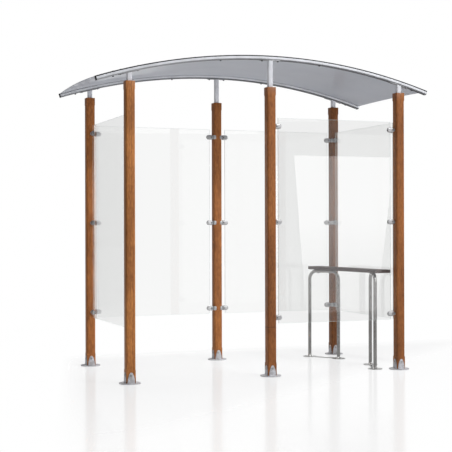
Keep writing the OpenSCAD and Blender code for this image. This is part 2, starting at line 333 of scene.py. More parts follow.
def roof_plastic(name, coat, coat_roughness):
    """Solid grey sheet under a thin clear gloss, very slightly uneven."""
    material, tree, shader = blank(name, (0.50, 0.515, 0.56), 0.55)
    waves = noise(tree, place(tree, (1.6, 2.4, 1.6)), 2.0)
    fine = noise(tree, place(tree, (26, 26, 26)), 3.0)
    tint = ramp(tree, waves, (0.3, (0.480, 0.496, 0.548)), (0.7, (0.520, 0.535, 0.582)))
    join_colour(tree, shader, tint)
    join_roughness(tree, shader, fine, 0.50, 0.60)
    relief(tree, shader, waves, 0.15, 0.002)
    shader.inputs["Specular IOR Level"].default_value = 0.3
    shader.inputs["Coat Weight"].default_value = coat
    shader.inputs["Coat Roughness"].default_value = coat_roughness
    return material


def clear_glass(name, tint):
    """Toughened glass with a faint tint, which lets lamps light what is behind it."""
    material, tree, shader = blank(name, tint, 0.0)
    shader.inputs["Transmission Weight"].default_value = 1.0
    shader.inputs["IOR"].default_value = 1.5
    dust = noise(tree, place(tree, (3, 3, 3)), 4.0)
    tree.links.new(spread(tree, dust, 0.3, 0.8, 0.0, 0.012), shader.inputs["Roughness"])
    to_lamp = add(tree, "ShaderNodeLightPath").outputs["Is Shadow Ray"]
    passing = let_through(tree, (0.89, 0.90, 0.89))
    surface(tree, either(tree, to_lamp, shader.outputs[0], passing))
    return material


def ground_edge(name):
    """The ground edge of a pane, pale blue-green and slightly frosted."""
    material, tree, shader = blank(name, (0.80, 0.90, 0.88), 0.35)
    grit = noise(tree, place(tree, (700, 700, 700)), 2.0)
    tint = ramp(tree, grit, (0.3, (0.74, 0.86, 0.84)), (0.7, (0.84, 0.93, 0.91)))
    join_colour(tree, shader, tint)
    relief(tree, shader, grit, 0.3, 0.0002)
    return material


def dark_board(name):
    """Dark brown-grey board with a fine straight grain along the plank and a satin lacquer."""
    material, tree, shader = blank(name, (0.075, 0.055, 0.052), 0.6)
    plank = add(tree, "ShaderNodeMapping", {
        "Vector": add(tree, "ShaderNodeTexCoord").outputs["Object"],
        "Rotation": (0, 0, -TABLE_TURN),
    }).outputs[0]
    fine, wide = (
        add(tree, "ShaderNodeMapping", {"Vector": plank, "Scale": scale}).outputs[0]
        for scale in ((260, 5, 260), (26, 1.4, 26))
    )
    grain = noise(tree, fine, 5.0, 0.6, 0.2)
    bands = noise(tree, wide, 3.0)
    tint = ramp(tree, grain, (0.30, (0.030, 0.018, 0.016)), (0.66, (0.074, 0.046, 0.042)))
    shade = ramp(tree, bands, (0.34, (0.78, 0.76, 0.75)), (0.66, (1.12, 1.10, 1.08)))
    join_colour(tree, shader, blend(tree, 0.9, tint, shade, "MULTIPLY"))
    join_roughness(tree, shader, grain, 0.66, 0.52)
    relief(tree, shader, grain, 0.3, 0.0004)
    shader.inputs["Specular IOR Level"].default_value = 0.08
    return material


# ---- meshes --------------------------------------------------------------------


def piece_of(name, mesh, *materials):
    """A mesh object at the origin with its materials."""
    made = bpy.data.objects.new(name, mesh)
    bpy.context.scene.collection.objects.link(made)
    for material in materials:
        mesh.materials.append(material)
    return made


def flattened(made):
    """Applies a piece's modifiers."""
    graph = bpy.context.evaluated_depsgraph_get()
    mesh = bpy.data.meshes.new_from_object(made.evaluated_get(graph), depsgraph=graph)
    made.modifiers.clear()
    old = made.data
    made.data = mesh
    bpy.data.meshes.remove(old)


def smooth_by_angle(mesh, degrees):
    """Smooth faces with hard edges where they meet at more than an angle."""
    mesh.shade_smooth()
    mesh.set_sharp_from_angle(angle=math.radians(degrees))


def softened(name, node, width, *materials, segments=2, angle=25):
    """A copy of a frame node with its flat faces joined and its edges rounded."""
    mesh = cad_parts[node].data.copy()
    mesh.materials.clear()
    form = bmesh.new()
    form.from_mesh(mesh)
    bmesh.ops.remove_doubles(form, verts=form.verts, dist=2e-5)
    bmesh.ops.dissolve_limit(
        form, angle_limit=math.radians(0.6), verts=form.verts, edges=form.edges
    )
    form.to_mesh(mesh)
    form.free()
    made = piece_of(name, mesh, *materials)
    rounding = made.modifiers.new("rounding", "BEVEL")
    rounding.width = width
    rounding.segments = segments
    rounding.limit_method = "ANGLE"
    rounding.angle_limit = math.radians(angle)
    flattened(made)
    smooth_by_angle(made.data, 32)
    return made


def lofted(name, *stacks, angle=38):
    """A mesh object of closed solids, each a stack of rings with equal counts of points."""
    form = bmesh.new()
    for rings in stacks:
        loops = [[form.verts.new(point) for point in ring] for ring in rings]
        count = len(rings[0])
        for low, high in zip(loops, loops[1:]):
            for i in range(count):
                j = (i + 1) % count
                form.faces.new((low[i], low[j], high[j], high[i]))
        form.faces.new(list(reversed(loops[0])))
        form.faces.new(loops[-1])
    bmesh.ops.recalc_face_normals(form, faces=form.faces)
    mesh = bpy.data.meshes.new(name)
    form.to_mesh(mesh)
    form.free()
    smooth_by_angle(mesh, angle)
    return piece_of(name, mesh)


def turned(name, profile, segments=24):
    """A closed solid round Z, from the base up. Each place of its profile is a radius, a height and
    perhaps six, where the ring is six-sided."""
    rings = []
    for radius, height, *sides in profile:
        ring = []
        for i in range(segments):
            angle = 2 * math.pi * i / segments
            off = (angle + math.pi / 6) % (math.pi / 3) - math.pi / 6
            reach = radius / math.cos(off) if sides else radius
            ring.append((reach * math.cos(angle), reach * math.sin(angle), height))
        rings.append(ring)
    return lofted(name, rings, angle=40)


def dome_head(name, radius, height, socket):
    """A button head with a hexagon socket, standing on z = 0."""
    top = height - 0.0002
    return turned(name, [
        (radius, 0), (radius, height * 0.22), (radius * 0.92, height * 0.60),
        (radius * 0.74, height * 0.86), (radius * 0.52, top),
        (socket, height, 6), (socket * 0.94, height * 0.42, 6),
    ])


def pan_head(name, radius, height):
    """A low round head on a washer, standing on z = 0."""
    washer = radius * 1.35
    return turned(name, [
        (washer, 0), (washer, height * 0.18), (radius, height * 0.20), (radius, height * 0.72),
        (radius * 0.86, height * 0.93), (radius * 0.5, height),
    ])


# ---- geometry nodes ------------------------------------------------------------


class Growth:
    """A geometry nodes tree with named inputs, and the piece that it makes."""

    def __init__(self, name, **inputs):
        self.tree = bpy.data.node_groups.new(name, "GeometryNodeTree")
        face = self.tree.interface
        face.new_socket("Geometry", in_out="OUTPUT", socket_type="NodeSocketGeometry")
        face.new_socket("Geometry", in_out="INPUT", socket_type="NodeSocketGeometry")
        for title, kind in inputs.items():
            face.new_socket(title, in_out="INPUT", socket_type="NodeSocket" + kind)
        self.source = self.tree.nodes.new("NodeGroupInput")

    def given(self, title):
        """One of the tree's named inputs."""
        return self.source.outputs[title]

    def add(self, kind, inputs=None, **settings):
        return add(self.tree, kind, inputs, **settings)

    def maths(self, operation, a, b=0.0):
        return maths(self.tree, operation, a, b)

    def close(self, shape):
        """Ends the tree: real geometry in its own finish."""
        real = self.add("GeometryNodeRealizeInstances", {0: shape}).outputs[0]
        done = self.add("GeometryNodeSetMaterial", {
            "Geometry": real, "Material": self.given("Finish"),
        }).outputs[0]
        result = self.tree.nodes.new("NodeGroupOutput")
        self.tree.links.new(done, result.inputs[0])

    def make(self, name, seed_mesh, values, extra=None):
        """Runs the tree on a mesh with these input values, and returns the finished plain piece."""
        made = piece_of(name, seed_mesh)
        modifier = made.modifiers.new("growth", "NODES")
        modifier.node_group = self.tree
        for item in self.tree.interface.items_tree:
            if item.in_out == "INPUT" and item.name in values:
                modifier[item.identifier] = values[item.name]
        if extra:
            extra(made)
        flattened(made)
        made.data.materials.clear()
        made.data.materials.append(values["Finish"])
        made.data.polygons.foreach_set("material_index", [0] * len(made.data.polygons))
        return made


def outline_mesh(name, points, closed=True):
    """A line of edges through points, closed or open."""
    mesh = bpy.data.meshes.new(name)
    count = len(points)
    edges = [(i, (i + 1) % count) for i in range(count if closed else count - 1)]
    mesh.from_pydata([tuple(p) if len(p) == 3 else (*p, 0) for p in points], edges, [])
    return mesh


def arch_growth():
    """Sweeps an outline along the roof's arch. Its points are a radius past the rail's underside
    and a depth."""
    g = Growth("along the arch", Outline="Object", Radius="Float", Half="Float",
               Row="Vector", Finish="Material")
    start = g.maths("SUBTRACT", math.pi / 2, g.given("Half"))
    sweep = g.maths("MULTIPLY", g.given("Half"), 2.0)
    arc = g.add("GeometryNodeCurveArc", {
        "Resolution": 181, "Radius": g.given("Radius"), "Start Angle": start, "Sweep Angle": sweep,
    }, mode="RADIUS").outputs["Curve"]
    outline = g.add("GeometryNodeObjectInfo", {"Object": g.given("Outline")}).outputs["Geometry"]
    profile = g.add("GeometryNodeMeshToCurve", {"Mesh": outline}).outputs[0]
    lying = g.add("GeometryNodeCurveToMesh", {
        "Curve": arc, "Profile Curve": profile, "Fill Caps": True,
    }).outputs[0]
    raised = g.add("GeometryNodeTransform", {
        "Geometry": lying, "Translation": g.given("Row"), "Rotation": (math.pi / 2, 0, 0),
    }).outputs[0]
    g.close(raised)
    return g


def outward(made):
    """Turns a closed mesh's faces outwards."""
    form = bmesh.new()
    form.from_mesh(made.data)
    bmesh.ops.remove_doubles(form, verts=form.verts, dist=1e-6)
    bmesh.ops.recalc_face_normals(form, faces=form.faces)
    form.to_mesh(made.data)
    form.free()


def rounded_outline(corners, radius):
    """Points of an outline whose corners are rounded by a radius."""
    points = []
    count, steps = len(corners), 4
    for i in range(count):
        here = Vector(corners[i])
        before = Vector(corners[i - 1]) - here
        after = Vector(corners[(i + 1) % count]) - here
        reach = min(radius, 0.45 * before.length, 0.45 * after.length)
        start = here + before.normalized() * reach
        end = here + after.normalized() * reach
        for k in range(steps + 1):
            t = k / steps
            points.append(start * (1 - t) ** 2 + here * 2 * t * (1 - t) + end * t ** 2)
    return points


def swept(name, growth, corners, radius, row, finish):
    """A piece along the arch from an outline's corners."""
    shape = piece_of(name + "_outline", outline_mesh(name, rounded_outline(corners, radius)))
    made = growth.make(name, bpy.data.meshes.new(name), {
        "Outline": shape, "Radius": ARCH_R, "Half": ROOF_HALF,
        "Row": (0, row * ROW_Y, ARCH_Z), "Finish": finish,
    })
    bpy.data.objects.remove(shape)
    outward(made)
    smooth_by_angle(made.data, 40)
    return made


def fastener_growth():
    """Stands a copy of a pattern on every point of a mesh, its Z along the point's axis and its X
    along the point's second way, where it has one, else turned at random."""
    g = Growth("fasteners", Pattern="Object", Seed="Int", Spin="Float", Finish="Material")
    axis = g.add("GeometryNodeInputNamedAttribute", {"Name": "axis"}, data_type="FLOAT_VECTOR")
    way = g.add("GeometryNodeInputNamedAttribute", {"Name": "way"}, data_type="FLOAT_VECTOR")
    stand = g.add("FunctionNodeAlignRotationToVector", {
        "Vector": axis.outputs["Attribute"],
    }, axis="Z").outputs[0]
    turn = g.add("FunctionNodeAlignRotationToVector", {
        "Rotation": stand, "Vector": way.outputs["Attribute"],
    }, axis="X", pivot_axis="Z").outputs[0]
    spin = g.add("FunctionNodeRandomValue", {2: 0.0, 3: 2 * math.pi, "Seed": g.given("Seed")})
    about = g.add("FunctionNodeAxisAngleToRotation", {
        "Axis": (0, 0, 1), "Angle": g.maths("MULTIPLY", spin.outputs[1], g.given("Spin")),
    }).outputs[0]
    spun = g.add("FunctionNodeRotateRotation", {
        "Rotation": turn, "Rotate By": about,
    }, rotation_space="LOCAL").outputs[0]
    pattern = g.add("GeometryNodeObjectInfo", {"Object": g.given("Pattern")}).outputs["Geometry"]
    stood = g.add("GeometryNodeInstanceOnPoints", {
        "Points": g.given("Geometry"), "Instance": pattern, "Rotation": spun,
    }).outputs[0]
    g.close(stood)
    return g


def fasteners(name, growth, places, pattern, finish, seed):
    """One mesh of equal fasteners at places, each a point, its axis and perhaps its second way."""
    mesh = bpy.data.meshes.new(name)
    mesh.from_pydata([tuple(spot[0]) for spot in places], [], [])
    ways = ["axis", "way"][:len(places[0]) - 1]
    for number, title in enumerate(ways, 1):
        kept = mesh.attributes.new(title, "FLOAT_VECTOR", "POINT")
        units = [spot[number].normalized() for spot in places]
        kept.data.foreach_set("vector", [part for unit in units for part in unit])
    return growth.make(name, mesh, {
        "Pattern": pattern, "Seed": seed, "Spin": 2.0 - len(ways), "Finish": finish,
    })


# ---- sub-parts -----------------------------------------------------------------


def shown(piece, slot, *nodes):
    """Puts a finished piece on the frame, in the place of frame nodes. The slot is not used."""
    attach(piece, "root")
    if nodes:
        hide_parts(*nodes)


def posts():
    """Six timber posts, each cut from its own part of the log; the back right post is darkened with
    painted shade.
    """
    # The back right post's low depth of colour is painted shade, keeping it dark as if out of the
    # lamps' light.
    logs_and_shade = {
        "front_left": ((0.055, 0.090), 1.12), "front_middle": ((-0.075, 0.060), 0.78),
        "front_right": ((0.085, 0.030), 0.76), "back_left": ((-0.040, -0.085), 1.08),
        "back_middle": ((0.070, -0.070), 0.82), "back_right": ((-0.095, -0.020), 0.54),
    }
    golden, brown = Vector((1, 1.07, 0.92)), Vector((1, 0.98, 0.80))
    for key, (pith, depth) in logs_and_shade.items():
        node = "post_" + key
        tone = (golden if key == "front_left" else brown) * depth
        joint_z = JOINT_Z if key == "front_middle" else None
        finish = timber("timber_" + key, middle(node), pith, tone, joint_z)
        shown(softened("timber_" + node, node, 0.0012, finish), "timber", node)


def heading(angle):
    """The level direction at an angle."""
    return Vector((math.cos(angle), math.sin(angle), 0))


def post_places():
    """Each post's name and the middle of its foot."""
    for row in ROWS:
        for column in COLUMNS:
            yield f"{row}_{column}", Vector((COLUMNS[column] * BAY_W, ROWS[row] * ROW_Y, 0))


def shoes(growth, heads):
    """Post shoes with softened edges and a button head bolt in each tab."""
    zinc = galvanised("zinc")
    bolt = satin("bolt_steel", (0.42, 0.42, 0.43), 0.32)
    reach = POST_W / 2 + TAB_T
    places = []
    for key, foot in post_places():
        node = "shoe_" + key
        shown(softened("zinc_" + node, node, 0.0007, zinc), "shoe_steel", node)
        for quarter in range(4):
            out = heading(quarter * math.pi / 2)
            places.append((foot + out * reach + Vector((0, 0, SHOE_T + TAB_H - BOLT_DROP)), out))
    shown(fasteners("shoe_bolts", growth, places, heads["dome"], bolt, 3), "shoe_steel")


def stubs():
    """Roof stubs: pale satin tubes under darker saddle plates."""
    pale = satin("stub_finish", (0.72, 0.73, 0.77), 0.42, (300, 300, 30), metallic=0.15)
    saddle = satin("saddle_finish", (0.30, 0.30, 0.31), 0.45)
    rounding = 0.0008
    limit = ARCH_R - SADDLE_T - rounding
    for key, _ in post_places():
        made = softened("roof_stub_" + key, "stub_" + key, rounding, pale, saddle)
        for face in made.data.polygons:
            if math.hypot(face.center.x, face.center.z - ARCH_Z) > limit:
                face.material_index = 1
        shown(made, "stub_steel", "stub_" + key)


def arch_point(x, radius):
    """The point of the arch at a distance from the middle, and the direction out of the arch."""
    angle = math.asin(x / radius)
    out = Vector((math.sin(angle), 0, math.cos(angle)))
    return out * radius + Vector((0, 0, ARCH_Z)), out


def groove(face, inward):
    """The corners of the shallow groove along a rail's face."""
    at, wide, deep = RAIL_H * 0.36, 0.0014, 0.0013
    low, high = at - wide / 2, at + wide / 2
    return [(low, face), (low, face + inward * deep), (high, face + inward * deep), (high, face)]


def roof_edges(growth):
    """Rails, dark strips of painted shade under them and along the lower edges of their faces,
    gaskets, cover strips and end caps.
    """
    # The back rail's paler finish is painted light: its inner face lies in the roof's shade.
    bright = {
        "front": satin("brushed_rail", (0.67, 0.68, 0.71), 0.50, (14, 300, 300), metallic=0.10),
        "back": satin("back_rail_painted_light", (0.82, 0.83, 0.86), 0.50, (14, 300, 300), metallic=0.05),
    }
    strip = satin("strip_finish", (0.055, 0.057, 0.063), 0.42, (14, 300, 300))
    # The dark strip under each rail is painted shade on its underside, with painted light towards
    # the left end.
    painted_shade_strip = painted_light_left(moulded("painted_shade_under_strip", (0.045, 0.046, 0.052), 0.55), (0.22, 0.22, 0.23))
    # The dark band on the rails' lower faces is painted shade, paler towards the left end with
    # painted light.
    shade_band_finish = satin("painted_shade_band", (0.13, 0.132, 0.14), 0.42, (14, 300, 300), metallic=0.5)
    shade_band_finish = painted_light_left(shade_band_finish, (0.36, 0.365, 0.38))
    rubber = moulded("soft_gasket", (0.16, 0.16, 0.165), 0.6)
    black = moulded("cap_plastic", (0.010, 0.010, 0.011), 0.70)
    lit_cap = satin("cap_painted_light", (0.62, 0.63, 0.65), 0.40, metallic=0.4)
    half = RAIL_W / 2
    edge = half - COVER_T
    low = RAIL_H
    mid = low + GASKET_T
    top = mid + SHEET_T
    start = 0.0006
    band_low, band_high, band_t, band_proud = 0.0010, 0.0088, 0.001, 0.0005
    shade_strip_t = 0.0012
    shade_strip_half = half - 0.002
    for row, side in ROWS.items():
        box = [(start, -half)] + groove(-half, 1) + [(RAIL_H, -half), (RAIL_H, half)]
        box += list(reversed(groove(half, -1))) + [(start, half)]
        shown(swept("rail_" + row + "_skin", growth, box, 0.0015, side, bright[row]),
              "rail_aluminium", "rail_" + row)
        # A dark band of painted shade along the lower edge of each rail face.
        for face in (-1, 1):
            near, far = face * (half + band_proud), face * (half - band_t + band_proud)
            band = [(band_low, near), (band_low, far), (band_high, far), (band_high, near)]
            name = "rail_" + row + ("_outer" if face == side else "_inner") + "_band"
            shown(swept(name, growth, band, 0.0003, side, shade_band_finish), "strip_dark")
        # A thin dark strip under the rail: painted shade.
        under = [(0, -shade_strip_half), (shade_strip_t, -shade_strip_half), (shade_strip_t, shade_strip_half), (0, shade_strip_half)]
        shown(swept("rail_" + row + "_inlay", growth, under, 0.0003, side, painted_shade_strip), "strip_dark")
        pad = [(low, -edge), (mid, -edge), (mid, edge), (low, edge)]
        shown(swept("gasket_" + row + "_strip", growth, pad, 0.0003, side, rubber),
              "gasket_rubber", "gasket_" + row)
        lip = [
            (low, side * half), (low, side * edge), (top, side * edge), (top, -side * half),
            (top + COVER_T, -side * half), (top + COVER_T, side * half),
        ]
        shown(swept("cover_" + row + "_strip", growth, lip, 0.0007, side, strip),
              "strip_dark", "cover_strip_" + row)
        caps = softened("caps_" + row, "end_caps_" + row, 0.0010, black, lit_cap)
        # The caps at the right ends take a pale silver, those at the left black: the silver is
        # painted light on caps alike at both ends.
        for face in caps.data.polygons:
            face.material_index = int(face.center.x > 0)
        shown(caps, "cap_black", "end_caps_" + row)


def roof_growth():
    """The roof sheet: a grid bent to the arch, whose free ends rise between the rails."""
    g = Growth("roof sheet", Radius="Float", Half="Float", Depth="Float", Rise_Left="Float",
               Rise_Right="Float", Centre="Float", Finish="Material")
    grid = g.add("GeometryNodeMeshGrid", {
        "Size X": 2.0, "Size Y": 2.0, "Vertices X": 161, "Vertices Y": 33,
    }).outputs["Mesh"]
    where = g.add("ShaderNodeSeparateXYZ", {0: g.add("GeometryNodeInputPosition").outputs[0]})
    along, across = where.outputs[0], where.outputs[1]
    angle = g.maths("MULTIPLY", along, g.given("Half"))
    left = g.maths("POWER", g.maths("MAXIMUM", g.maths("MULTIPLY", along, -1.0), 0.0), 5.0)
    right = g.maths("POWER", g.maths("MAXIMUM", along, 0.0), 5.0)
    left_rise = g.maths("MULTIPLY", left, g.given("Rise_Left"))
    rise = g.maths("ADD", left_rise, g.maths("MULTIPLY", right, g.given("Rise_Right")))
    hump = g.maths("SUBTRACT", 1.0, g.maths("MULTIPLY", across, across))
    radius = g.maths("ADD", g.given("Radius"), g.maths("MULTIPLY", rise, hump))
    x = g.maths("MULTIPLY", radius, g.maths("SINE", angle))
    z = g.maths("ADD", g.maths("MULTIPLY", radius, g.maths("COSINE", angle)), g.given("Centre"))
    y = g.maths("MULTIPLY", across, g.given("Depth"))
    bent = g.add("ShaderNodeCombineXYZ", {0: x, 1: y, 2: z}).outputs[0]
    g.close(g.add("GeometryNodeSetPosition", {"Geometry": grid, "Position": bent}).outputs[0])
    return g


def roof_sheet():
    """The arched sheet, glossy below and weathered to a satin on top. Small gaps keep it off the
    gaskets and the cover strips, but its rising ends sink up to 1.5 mm into the strips."""
    gap, side_gap = 0.0002, 0.0003

    def thicken(made):
        solid = made.modifiers.new("thickness", "SOLIDIFY")
        solid.thickness = SHEET_T - 2 * gap
        solid.offset = 1.0
        solid.use_even_offset = True

    made = roof_growth().make("roof_skin", bpy.data.meshes.new("roof_skin"), {
        "Radius": ARCH_R + RAIL_H + GASKET_T + gap, "Half": ROOF_HALF,
        "Depth": ROW_Y + RAIL_W / 2 - COVER_T - side_gap, "Rise_Left": 0.016,
        "Rise_Right": 0.010, "Centre": ARCH_Z, "Finish": roof_plastic("roof_plastic", 0.25, 0.05),
    }, thicken)
    made.data.materials.append(roof_plastic("roof_plastic_top", 0.06, 0.30))
    for face in made.data.polygons:
        if face.normal.z > 0.5:
            face.material_index = 1
    smooth_by_angle(made.data, 40)
    shown(made, "roof_grey", "roof_sheet")


def panes():
    """Glass panes with arrised, ground edges."""
    clear = clear_glass("clear_glass", (0.950, 0.954, 0.950))
    front = clear_glass("front_glass", (0.880, 0.882, 0.880))
    edge = ground_edge("ground_edge")
    for key in ("left_end", "back_left", "back_right", "right_end", "front_right"):
        finish = front if key == "front_right" else clear
        made = softened("pane_" + key, "glass_" + key, 0.0010, finish, edge, segments=1, angle=60)
        thin = 0 if key.endswith("end") else 1
        for face in made.data.polygons:
            if abs(face.normal[thin]) < 0.99:
                face.material_index = 1
            face.use_smooth = False
        shown(made, "pane_glass", "glass_" + key)


def clamp_frames():
    """Each clamp's panel, its place on the post's face, and the ways along and out of the panel."""
    heights = sorted({round(z, 4) for z in clamp_heights()})
    for key, side in {"left_end": -1, "right_end": 1}.items():
        for row in (-1, 1):
            y = row * (ROW_Y - POST_W / 2)
            for z in heights:
                yield key, Vector((side * BAY_W, y, z)), Vector((0, -row, 0)), Vector((side, 0, 0))
    bays = {"back_left": (-1, 1), "back_right": (1, 1), "front_right": (1, -1)}
    for key, (bay, row) in bays.items():
        for end in (-1, 1):
            x = bay * BAY_W / 2 + end * (BAY_W / 2 - POST_W / 2)
            for z in heights:
                yield key, Vector((x, row * ROW_Y, z)), Vector((-end, 0, 0)), Vector((0, row, 0))


def clamp_heights():
    """Middle heights of the three clamps on a post."""
    low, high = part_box("clamps_back_left")
    bottom = low.z + CLAMP_H / 2
    top = high.z - CLAMP_H / 2
    return bottom, (bottom + top) / 2, top


def jaw_ring(inset, height):
    """A ring of a clamp's D outline, inset by a width, in the clamp's own frame."""
    half = CLAMP_H / 2 - inset
    corner = max(0.004 - inset / 2, 0.0012)
    back, front = CLAMP_START + inset + corner, CLAMP_REACH - CLAMP_H / 2
    arcs = (
        (back, corner - half, corner, math.pi, math.pi / 2, 4),
        (front, 0, half, -math.pi / 2, math.pi, 28),
        (back, half - corner, corner, math.pi / 2, math.pi / 2, 4),
    )
    points = []
    for x, y, radius, first, sweep, steps in arcs:
        for i in range(steps + 1):
            turn = first + i * sweep / steps
            points.append((x + radius * math.cos(turn), y + radius * math.sin(turn), height))
    return points


def slab(reach, half_y, half_z):
    """The two rings of a block between two reaches from the post, even about Y and Z."""
    near, far = reach
    corners = [(near, -half_y), (far, -half_y), (far, half_y), (near, half_y)]
    return [[(x, y, z) for x, y in corners] for z in (-half_z, half_z)]


def clamp_jaws(name):
    """A clamp's two domed jaws, its core behind the pane's edge and its neck."""
    dome = [(0.0007, 0.0050), (0.0, 0.0056), (0.0, 0.0072), (0.0008, 0.0094), (0.0026, 0.0111),
            (0.0055, 0.0122), (0.0092, 0.0128), (0.0130, 0.0130)]
    outer = [jaw_ring(inset, height) for inset, height in dome]
    inner = [jaw_ring(inset, -height) for inset, height in dome]
    core = slab((CLAMP_START + 0.0012, GLASS_GAP - 0.003), CLAMP_H / 2 - 0.0012, 0.0051)
    neck = slab((BRACKET_T - 0.0004, CLAMP_START + 0.004), 0.015, 0.007)
    return lofted(name, outer, inner, core, neck)


def clamp_pads(name):
    """The two rubber pads between the jaws and the glass."""
    inset, low, high = 0.0004, PANE_T / 2 + 0.0001, 0.0052
    return lofted(name, *(
        [jaw_ring(inset, way * low), jaw_ring(inset, way * high)] for way in (1, -1)
    ))


def clamps(growth, heads):
    """Clamps with two domed jaws, rubber pads against the glass and a socket screw in each jaw."""
    cast = satin("clamp_finish", (0.56, 0.56, 0.57), 0.48, (420, 420, 420), metallic=0.75)
    bolt = satin("clamp_screw", (0.22, 0.22, 0.23), 0.34)
    rubber = moulded("clamp_rubber", (0.020, 0.020, 0.021), 0.6)
    jaws, pads = clamp_jaws("clamp_jaws"), clamp_pads("clamp_pads")
    sets, screws = {}, []
    for key, face, along, out in clamp_frames():
        at = face - out * (POST_W / 2 - GLASS_IN)
        sets.setdefault(key, []).append((at, out, along))
        for way in (-1, 1):
            head = at + along * JAW_SCREW + out * way * (CLAMP_T / 2 - 0.0006)
            screws.append((head, out * way))
    for key, places in sets.items():
        cast_set = fasteners("jaws_" + key, growth, places, jaws, cast, 1)
        shown(cast_set, "clamp_steel", "clamps_" + key)
        shown(fasteners("pads_" + key, growth, places, pads, rubber, 1), "strip_dark")
    shown(fasteners("clamp_screws", growth, screws, heads["small"], bolt, 5), "clamp_steel")
    for pattern in (jaws, pads):
        bpy.data.objects.remove(pattern)


def brackets():
    """Corner brackets whose legs narrow towards their ends."""
    plate = satin("bracket_finish", (0.60, 0.60, 0.61), 0.42, (420, 420, 60))
    levels = clamp_heights()
    for row in ROWS:
        made = softened("bracket_plates_" + row, "brackets_" + row, 0.0006, plate)
        for vertex in made.data.vertices:
            at = vertex.co
            post = Vector((round(at.x / BAY_W) * BAY_W, math.copysign(ROW_Y, at.y)))
            along = POST_W / 2 - abs(at.x - post.x)
            inside = POST_W / 2 - abs(at.y - post.y)
            run = max(along, inside) / BRACKET_LEG
            level = min(levels, key=lambda z: abs(z - at.z))
            at.z = level + (at.z - level) * (1 - BRACKET_TAPER * min(max(run, 0.0), 1.0))
        shown(made, "clamp_steel", "brackets_" + row)


def rail_screws(growth, heads):
    """Screws under the rails and through the saddles, and their heads on the cover strips."""
    dark = satin("rail_screw", (0.10, 0.10, 0.105), 0.40)
    free = [-1.320, -0.430, 0.445, 1.320]
    middles = [-SADDLE_SCREW, SADDLE_SCREW]
    ends = [side * BAY_W + way * SADDLE_SCREW for side in (-1, 1) for way in (-1, 1)]
    below, flush, above = [], [], []
    top = ARCH_R + RAIL_H + GASKET_T + SHEET_T + COVER_T
    for side in ROWS.values():
        row = Vector((0, side * ROW_Y, 0))
        for x in free + middles + ends:
            point, out = arch_point(x, ARCH_R - (0 if x in free else SADDLE_T))
            (flush if x in ends else below).append((point + row, -out))
            point, out = arch_point(x, top)
            above.append((point + row, out))
    shown(fasteners("rail_screws", growth, below, heads["pan"], dark, 7), "strip_dark")
    shown(fasteners("saddle_screws", growth, flush, heads["small"], dark, 17), "strip_dark")
    shown(fasteners("strip_screws", growth, above, heads["low"], dark, 9), "strip_dark")


def hoop_growth():
    """A bent tube along a line of straight runs."""
    g = Growth("bent tube", Bend="Float", Tube="Float", Finish="Material")
    run = g.add("GeometryNodeMeshToCurve", {"Mesh": g.given("Geometry")}).outputs[0]
    bent = g.add("GeometryNodeFilletCurve", {
        "Curve": run, "Radius": g.given("Bend"), "Count": 20,
    }, mode="POLY").outputs[0]
    ring = g.add("GeometryNodeCurvePrimitiveCircle", {"Resolution": 40, "Radius": g.given("Tube")})
    g.close(g.add("GeometryNodeCurveToMesh", {
        "Curve": bent, "Profile Curve": ring.outputs[0], "Fill Caps": True,
    }).outputs[0])
    return g


def table(growth, heads):
    """The leaning table: dark plank, bent tube hoops, floor discs, collars and screws."""
    board = dark_board("dark_board")
    tube = satin("hoop_finish", (0.335, 0.33, 0.325), 0.27, (500, 500, 26))
    flat = satin("foot_finish", (0.56, 0.56, 0.555), 0.36)
    polished = satin("collar_finish", (0.85, 0.85, 0.84), 0.18)
    bolt = satin("table_screw", (0.20, 0.20, 0.205), 0.35)
    plank = softened("plank_board", "table_plank", 0.0022, board, segments=3)
    shown(plank, "table_board", "table_plank")
    bends = hoop_growth()
    collars, foot_screws, lugs = [], [], []
    up, down = Vector((0, 0, 1)), Vector((0, 0, -1))
    for row, side in ROWS.items():
        node = "table_hoop_" + row
        centre = middle(node)
        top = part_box(node)[1].z - TUBE_R
        angle = math.pi / 2 + side * HOOP_TURN + TABLE_TURN
        way = heading(angle)
        feet = [Vector((centre.x, centre.y, DISC_T)) + way * end * HOOP_W / 2 for end in (-1, 1)]
        rise = Vector((0, 0, top - DISC_T))
        path = [feet[0], feet[0] + rise, feet[1] + rise, feet[1]]
        made = bends.make("tube_" + node, outline_mesh(node, path, closed=False), {
            "Bend": BEND_R, "Tube": TUBE_R, "Finish": tube,
        })
        outward(made)
        smooth_by_angle(made.data, 40)
        shown(made, "hoop_steel", node)
        foot = "table_foot_" + row
        shown(softened("plate_" + foot, foot, 0.0007, flat), "hoop_steel", foot)
        for end, at in zip((-1, 1), feet):
            collars.append((at, up))
            for turn in (-math.pi / 2, 0, math.pi / 2):
                foot_screws.append((at + heading(angle + turn) * end * DISC_HOLES_R, up))
            under = Vector((centre.x, centre.y, top - TUBE_R)) + way * end * LUG_OFF
            lugs.append((under, down))
    shown(fasteners("foot_collars", growth, collars, heads["collar"], polished, 11), "hoop_steel")
    shown(fasteners("foot_screws", growth, foot_screws, heads["low"], flat, 13), "hoop_steel")
    shown(fasteners("hoop_bolts", growth, lugs, heads["pan"], bolt, 15), "hoop_steel")


def fastener_heads():
    """The patterns of screws, bolts and collars, which go again once every set is made."""
    return {
        "dome": dome_head("dome_head", 0.0085, 0.0050, 0.0034),
        "small": dome_head("small_head", 0.0060, 0.0030, 0.0022),
        "low": dome_head("low_head", 0.0072, 0.0026, 0.0028),
        "pan": pan_head("pan_head", 0.0068, 0.0080),
        "collar": turned("collar", [
            (0.0205, 0), (0.0199, 0.0020), (0.0175, 0.0065), (0.0161, 0.0120), (0.0153, 0.0180),
        ], 40),
    }


